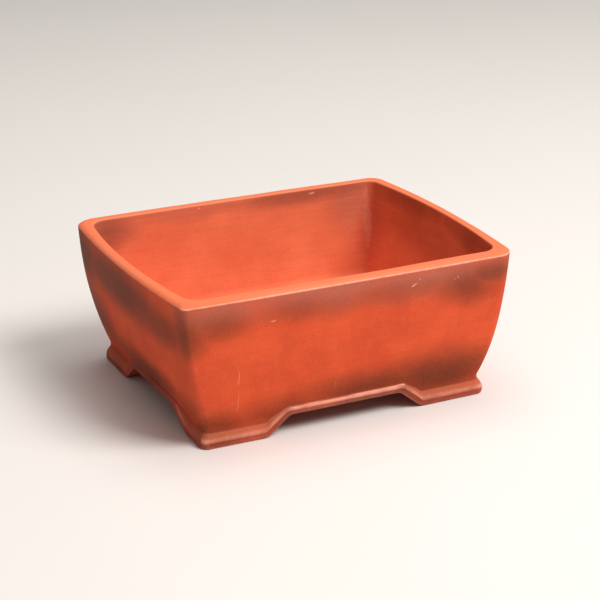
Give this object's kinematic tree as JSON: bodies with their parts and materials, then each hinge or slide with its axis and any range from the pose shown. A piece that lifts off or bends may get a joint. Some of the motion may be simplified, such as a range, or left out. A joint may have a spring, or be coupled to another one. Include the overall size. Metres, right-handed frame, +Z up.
{
  "type": "bonsai pot",
  "caption": "Rectangular unglazed red clay bonsai pot with bellied slab walls, flat rim, drainage holes and bracket feet joined by apron strips.",
  "frame": {"origin": "under the middle of the pot, on the plane of the four soles", "axes": "+X along the long side, -Y towards the front, +Z up through the open mouth"},
  "size_m": [0.3106, 0.2412, 0.127],
  "materials": {
    "clay_body": "unglazed, matt",
    "clay_inside": "unglazed, matt",
    "clay_skirt": "unglazed, matt"
  },
  "bodies": {
    "root": {"wall_front": "clay_body", "wall_back": "clay_body", "wall_left": "clay_body", "wall_right": "clay_body", "base_slab": "clay_inside", "corner_coil_front_left": "clay_inside", "corner_coil_front_right": "clay_inside", "corner_coil_back_left": "clay_inside", "corner_coil_back_right": "clay_inside", "floor_coil_front": "clay_inside", "floor_coil_back": "clay_inside", "floor_coil_left": "clay_inside", "floor_coil_right": "clay_inside", "foot_front_left": "clay_skirt", "foot_front_right": "clay_skirt", "foot_back_left": "clay_skirt", "foot_back_right": "clay_skirt", "apron_front": "clay_skirt", "apron_back": "clay_skirt", "apron_left": "clay_skirt", "apron_right": "clay_skirt"}
  },
  "joints": []
}
